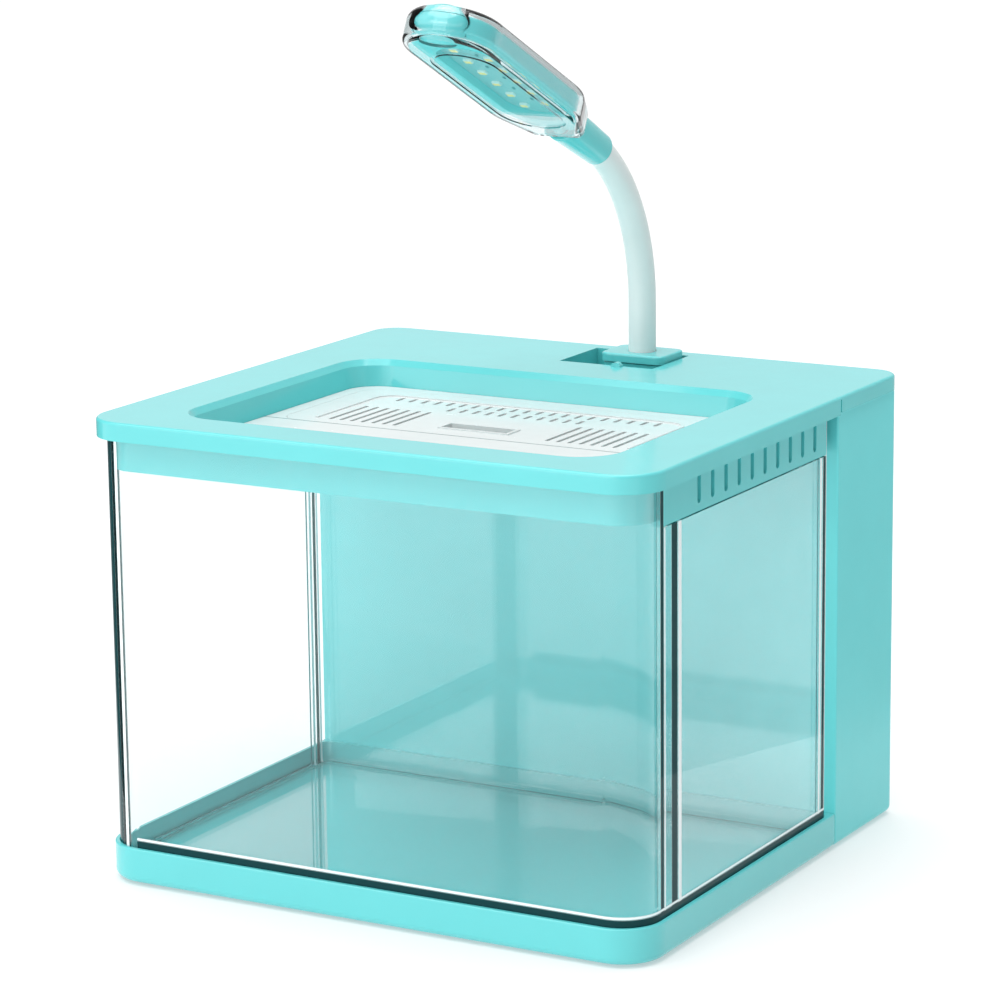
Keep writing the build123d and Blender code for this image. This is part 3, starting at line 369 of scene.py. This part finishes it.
slot_materials = {
    "aqua_plastic": glossy_plastic("aqua_plastic_look", AQUA),
    "clear_plastic": clear_plastic("clear_plastic_look", *CLEAR).material,
    "white_plastic": glossy_plastic("white_plastic_look", WHITE, (0.2, 0.3), 0.02, 0.2),
    "white_sleeve": soft_rubber("white_sleeve_look", srgb(224, 230, 229), (0.28, 0.38), 0.02, 0.05),
    "grey_rubber": soft_rubber("grey_rubber_look", srgb(190, 197, 197)),
    "steel": steel("steel_look"),
    "black_plastic": matte_plastic("black_plastic_look", srgb(38, 38, 40)),
    "dark_plastic": matte_plastic("dark_plastic_look", srgb(58, 58, 62)),
    "filter_foam": foam("filter_foam_look", srgb(62, 66, 72)),
    "filter_floss": floss("filter_floss_look", srgb(240, 243, 243)),
    "clear_hose": soft_rubber("clear_hose_look", srgb(214, 224, 224), (0.2, 0.3), 0.02, 0.05),
    "board": glossy_plastic("board_look", srgb(138, 172, 173), (0.25, 0.35), 0.03, 0.1),
    "led": glossy_plastic("led_look", srgb(236, 240, 236), (0.15, 0.25), 0.02, 0.3),
}
die_material = glossy_plastic("phosphor_look", srgb(247, 202, 30), (0.3, 0.4), 0.02, 0.0)
glow = die_material.node_tree.nodes["Principled BSDF"].inputs
glow["Emission Color"].default_value = srgb(255, 196, 0)
glow["Emission Strength"].default_value = 0.3
chip_material = matte_plastic("chip_look", srgb(70, 84, 86))

# Nodes whose look departs from the others of their slot
HEAD_DEPTH = ((0.12, 0.5, 0.53, 1.0), 45.0)
node_materials = {
    "tank_shell": tank_plastic(*CLEAR),
    "head_shell": clear_plastic("head_shell_look", CLEAR[0], *HEAD_DEPTH).material,
    "top_tray": plastic_with_painted_gap_shadow("tray_look", WHITE),
    # The housing's aqua is lightened 1.15 times as painted light, standing in for the light inside
    # the tank; its gloss differs as its own finish.
    "rear_housing": glossy_plastic("housing_painted_light_look", shade(AQUA, 1.15), (0.32, 0.4), 0.015, 0.05),
}

node_slots = {part["node"]: part["material_slot"] for part in frame["record"]["subparts"]}
for node, obj in frame["nodes"].items():
    obj.data.materials.clear()
    obj.data.materials.append(node_materials.get(node, slot_materials[node_slots[node]]))


# Mesh helpers

def new_object(name, mesh, material):
    obj = bpy.data.objects.new(name, mesh)
    bpy.context.scene.collection.objects.link(obj)
    mesh.materials.append(material)
    return obj


def smooth(mesh, angle=35.0):
    for face in mesh.polygons:
        face.use_smooth = True
    mesh.set_sharp_from_angle(angle=math.radians(angle))


# Gooseneck

LAMP_X = 13.5 * MM
LAMP_Y = 98 * MM
SLEEVE_FOOT = 187 * MM
CORE_FOOT = 171.8 * MM
BEND_START = 214 * MM
BEND_RADIUS = 80 * MM
BEND_ANGLE = math.radians(64.0)
SLEEVE_RADIUS = 5.85 * MM
SLEEVE_BORE = 3.5 * MM
CORE_RADIUS = 3.2 * MM
TUBE_SIDES = 48
STRAIGHT_STEPS = 24
CURVED_STEPS = 72


def neck_point(angle):
    """Place and direction on the curved run, at an angle from its foot."""
    place = Vector((LAMP_X, LAMP_Y - BEND_RADIUS + BEND_RADIUS * math.cos(angle),
                    BEND_START + BEND_RADIUS * math.sin(angle)))
    return place, Vector((0, -math.sin(angle), math.cos(angle)))


def tube_mesh(name, stations, outer, inner):
    """A closed tube, or a rod where inner is 0, through stations of place and direction."""
    shape = bmesh.new()
    across = Vector((1, 0, 0))

    def ring(place, direction, radius):
        side = direction.cross(across)
        return [shape.verts.new(place + radius * (math.cos(turn) * across + math.sin(turn) * side))
                for turn in (2 * math.pi * step / TUBE_SIDES for step in range(TUBE_SIDES))]

    def skin(rings, inward):
        for near, far in zip(rings, rings[1:]):
            for step in range(TUBE_SIDES):
                after = (step + 1) % TUBE_SIDES
                face = (near[step], near[after], far[after], far[step])
                shape.faces.new(face[::-1] if inward else face)

    outside = [ring(place, direction, outer) for place, direction in stations]
    skin(outside, True)
    if inner:
        inside = [ring(place, direction, inner) for place, direction in stations]
        skin(inside, False)
        for first, second in ((outside[0], inside[0]), (inside[-1], outside[-1])):
            skin([first, second], False)
    else:
        shape.faces.new(outside[0])
        shape.faces.new(outside[-1][::-1])
    bmesh.ops.recalc_face_normals(shape, faces=shape.faces)
    mesh = bpy.data.meshes.new(name)
    shape.to_mesh(mesh)
    shape.free()
    smooth(mesh)
    return mesh


def straight_stations(foot, count):
    upward = Vector((0, 0, 1))
    return [(Vector((LAMP_X, LAMP_Y, foot + (BEND_START - foot) * step / count)), upward)
            for step in range(count + 1)]


def curved_stations(count):
    return [neck_point(BEND_ANGLE * step / count) for step in range(count + 1)]


neck_parts = (("sleeve", SLEEVE_FOOT, SLEEVE_RADIUS, SLEEVE_BORE, "white_sleeve"),
              ("core", CORE_FOOT, CORE_RADIUS, 0, "steel"))
for word, foot, outer, inner, slot in neck_parts:
    name = f"gooseneck_{word}_foot"
    mesh = tube_mesh(name, straight_stations(foot, STRAIGHT_STEPS), outer, inner)
    lower = new_object(name, mesh, slot_materials[slot])
    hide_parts(f"neck_{word}_lower")
    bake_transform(lower)
    name = f"gooseneck_{word}_curve"
    mesh = tube_mesh(name, curved_stations(CURVED_STEPS), outer, inner)
    upper = new_object(name, mesh, slot_materials[slot])
    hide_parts(f"neck_{word}_upper")
    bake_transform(upper)


# Lights on the board

HEAD_GAP = 27 * MM
HEAD_TILT = math.radians(90.0) - BEND_ANGLE
neck_end, _ = neck_point(BEND_ANGLE)
head_along = Vector((0, -math.cos(HEAD_TILT), math.sin(HEAD_TILT)))
head_up = Vector((0, math.sin(HEAD_TILT), math.cos(HEAD_TILT)))
head_start = neck_end + head_along * HEAD_GAP


def head_place(along, across, up):
    """A point in the lamp head's own millimetres."""
    return head_start + (head_along * along + Vector((1, 0, 0)) * across + head_up * up) * MM


LED_COUNT = 6
LED_MIDDLE = 54.5
LED_PITCH = 12.393
LED_STAGGER = 0.3
LED_ROW = 5.5
LED_FACE = -0.45
BOARD_FACE = 0.55
# Low and high face, length, width and the break of the edges
DIE = (LED_FACE - 0.15, LED_FACE + 0.3, 2.2, 2.9, 0.08)
RESISTOR = (BOARD_FACE - 0.45, BOARD_FACE + 0.1, 1.8, 0.9, 0.1)
RESISTOR_PLACES = ((-24, 1.2), (-12, -1.0), (0, 0.9), (12, -0.6), (25, 1.4), (33, -7.0))


def led_places():
    middle = (LED_COUNT - 1) / 2
    for row in (0, 1):
        for index in range(LED_COUNT):
            along = LED_MIDDLE + (index - middle + row * LED_STAGGER) * LED_PITCH
            yield along, (row * 2 - 1) * LED_ROW


def add_chip(shape, along, across, low, high, length, width, bevel):
    """One small block with broken edges, in the head's frame."""
    made = bmesh.ops.create_cube(shape, size=1.0)["verts"]
    for vert in made:
        vert.co = Vector((vert.co.x * length, vert.co.y * width, vert.co.z * (high - low)))
    edges = {edge for vert in made for edge in vert.link_edges}
    rounded = bmesh.ops.bevel(shape, geom=list(edges), offset=bevel, segments=2, affect="EDGES",
                              profile=0.5)
    verts = {vert for face in rounded["faces"] for vert in face.verts}
    verts |= {vert for vert in made if vert.is_valid}
    for vert in verts:
        vert.co = head_place(along + vert.co.x, across + vert.co.y, (low + high) / 2 + vert.co.z)


def chips_object(name, rows, material):
    shape = bmesh.new()
    for row in rows:
        add_chip(shape, *row)
    bmesh.ops.recalc_face_normals(shape, faces=shape.faces)
    mesh = bpy.data.meshes.new(name)
    shape.to_mesh(mesh)
    shape.free()
    smooth(mesh)
    chips = new_object(name, mesh, material)
    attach(chips, "head")
    return chips


chips_object("led_dies", [(*place, *DIE) for place in led_places()], die_material)
chips_object("board_resistors", [(LED_MIDDLE + offset, across, *RESISTOR)
                                 for offset, across in RESISTOR_PLACES], chip_material)


# Filter media

MERGE_DISTANCE = 1e-6
WOBBLE_SCALE = 220.0


def media_block(name, low, high, corner, cell, rough_height, material, slot, body, node, fill):
    """A soft block with rounded corners and an uneven cut surface."""
    low = Vector(low)
    high = Vector(high)
    shape = bmesh.new()
    size = high - low
    counts = [max(2, int(side / cell)) for side in size]
    seen = {}

    def corner_at(point):
        key = tuple(round(value / MERGE_DISTANCE) for value in point)
        if key not in seen:
            inner = Vector(min(max(point[i], low[i] + corner), high[i] - corner) for i in range(3))
            out = Vector(point) - inner
            out = out.normalized() if out.length > 0 else Vector((0, 0, 0))
            wobble = noise.noise(Vector(point) * WOBBLE_SCALE) - 1.0
            seen[key] = shape.verts.new(inner + out * (corner + rough_height * wobble))
        return seen[key]

    for axis in range(3):
        first, second = (axis + 1) % 3, (axis + 2) % 3
        for end in (low, high):
            for i in range(counts[first]):
                for j in range(counts[second]):
                    face = []
                    for di, dj in ((0, 0), (1, 0), (1, 1), (0, 1)):
                        point = [0.0, 0.0, 0.0]
                        point[axis] = end[axis]
                        point[first] = low[first] + size[first] * (i + di) / counts[first]
                        point[second] = low[second] + size[second] * (j + dj) / counts[second]
                        face.append(corner_at(point))
                    shape.faces.new(face)
    bmesh.ops.recalc_face_normals(shape, faces=shape.faces)
    mesh = bpy.data.meshes.new(name)
    shape.to_mesh(mesh)
    shape.free()
    smooth(mesh, 60.0)
    block = new_object(name, mesh, material)
    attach(block, body)
    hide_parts(node)
    return block


media_block("sponge_block", *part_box("filter_sponge"), 2.0 * MM, 2.5 * MM, 0.35 * MM,
            slot_materials["filter_foam"], "filter_foam", "base", "filter_sponge", 0.9)
media_block("floss_pad", *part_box("filter_pad"), 1.4 * MM, 1.2 * MM, 0.35 * MM,
            slot_materials["filter_floss"], "filter_floss", "tray", "filter_pad", 0.5)


# Floor, light and backdrop

FLOOR_REACH = 6.0
CARD_HEIGHT = 0.7


def make_floor():
    mesh = bpy.data.meshes.new("floor")
    corners = [(x * FLOOR_REACH, y * FLOOR_REACH, 0)
               for x, y in ((-1, -1), (1, -1), (1, 1), (-1, 1))]
    mesh.from_pydata(corners, [], [(0, 1, 2, 3)])
    floor = bpy.data.objects.new("floor", mesh)
    bpy.context.scene.collection.objects.link(floor)
    made = Nodes("floor_look")
    made.colours(made.noise(3.0, 2.0), "Fac", (0.555, 0.56, 0.562, 1), (0.57, 0.572, 0.575, 1))
    made.set(Roughness=0.7, Emission_Color=(1.0, 1.0, 1.0, 1.0), Emission_Strength=0.38)
    mesh.materials.append(made.material)


def make_light(name, place, target, size, power, colour=(1.0, 1.0, 1.0)):
    data = bpy.data.lights.new(name, "AREA")
    data.shape = "RECTANGLE"
    data.size, data.size_y = size
    data.energy = power
    data.color = colour
    lamp = bpy.data.objects.new(name, data)
    lamp.location = place
    lamp.rotation_euler = (Vector(target) - Vector(place)).to_track_quat("-Z", "Y").to_euler()
    bpy.context.scene.collection.objects.link(lamp)


def make_card(name, start, end, grey):
    """A grey upright card beside the view, which only mirrored rays meet."""
    mesh = bpy.data.meshes.new(name)
    corners = [(*start, 0), (*end, 0), (*end, CARD_HEIGHT), (*start, CARD_HEIGHT)]
    mesh.from_pydata(corners, [], [(0, 1, 2, 3)])
    card = bpy.data.objects.new(name, mesh)
    bpy.context.scene.collection.objects.link(card)
    mesh.materials.append(matte_plastic(name + "_look", (grey, grey, grey, 1)))
    card.visible_camera = False
    card.visible_diffuse = False
    card.visible_transmission = False
    card.visible_shadow = False


def make_sun(power, spread, direction):
    data = bpy.data.lights.new("sun", "SUN")
    data.energy = power
    data.angle = spread
    lamp = bpy.data.objects.new("sun", data)
    lamp.rotation_euler = Vector(direction).to_track_quat("-Z", "Y").to_euler()
    bpy.context.scene.collection.objects.link(lamp)


make_floor()
make_sun(1.9, math.radians(70), (0.12, 0.25, -1.0))
make_light("key", (-0.7, -1.5, 1.2), (0, 0, 0.1), (2.4, 1.6), 3.5)
make_light("fill", (-0.3, -1.7, 0.3), (0, 0, 0.1), (1.6, 0.6), 8.0)
make_light("top", (0.1, 0.4, 1.9), (0, 0, 0.15), (1.6, 1.2), 12.0)
make_card("left_card", (-0.22, -0.13), (-0.95, 0.72), 0.1)
make_card("right_card", (0.345, -0.2), (-0.10, 1.02), 0.5)


def make_world(seen, left, right):
    """A plain white backdrop, lighting the object less than it shows, and least from the right."""
    world = bpy.data.worlds.new("studio")
    world.use_nodes = True
    tree = world.node_tree
    background = tree.nodes["Background"]
    background.inputs["Color"].default_value = (1.0, 1.0, 1.0, 1.0)
    place = tree.nodes.new("ShaderNodeTexCoord")
    split = tree.nodes.new("ShaderNodeSeparateXYZ")
    tree.links.new(place.outputs["Generated"], split.inputs["Vector"])
    side = tree.nodes.new("ShaderNodeMapRange")
    ends = {"From Min": -1.0, "From Max": 1.0, "To Min": left, "To Max": right}
    for socket, value in ends.items():
        side.inputs[socket].default_value = value
    tree.links.new(split.outputs["X"], side.inputs["Value"])
    ray = tree.nodes.new("ShaderNodeLightPath")
    level = tree.nodes.new("ShaderNodeMapRange")
    level.inputs["To Max"].default_value = seen
    tree.links.new(side.outputs["Result"], level.inputs["To Min"])
    tree.links.new(ray.outputs["Is Camera Ray"], level.inputs["Value"])
    tree.links.new(level.outputs["Result"], background.inputs["Strength"])
    bpy.context.scene.world = world


make_world(1.02, 0.86, 0.34)
bpy.context.scene.view_settings.view_transform = "Standard"
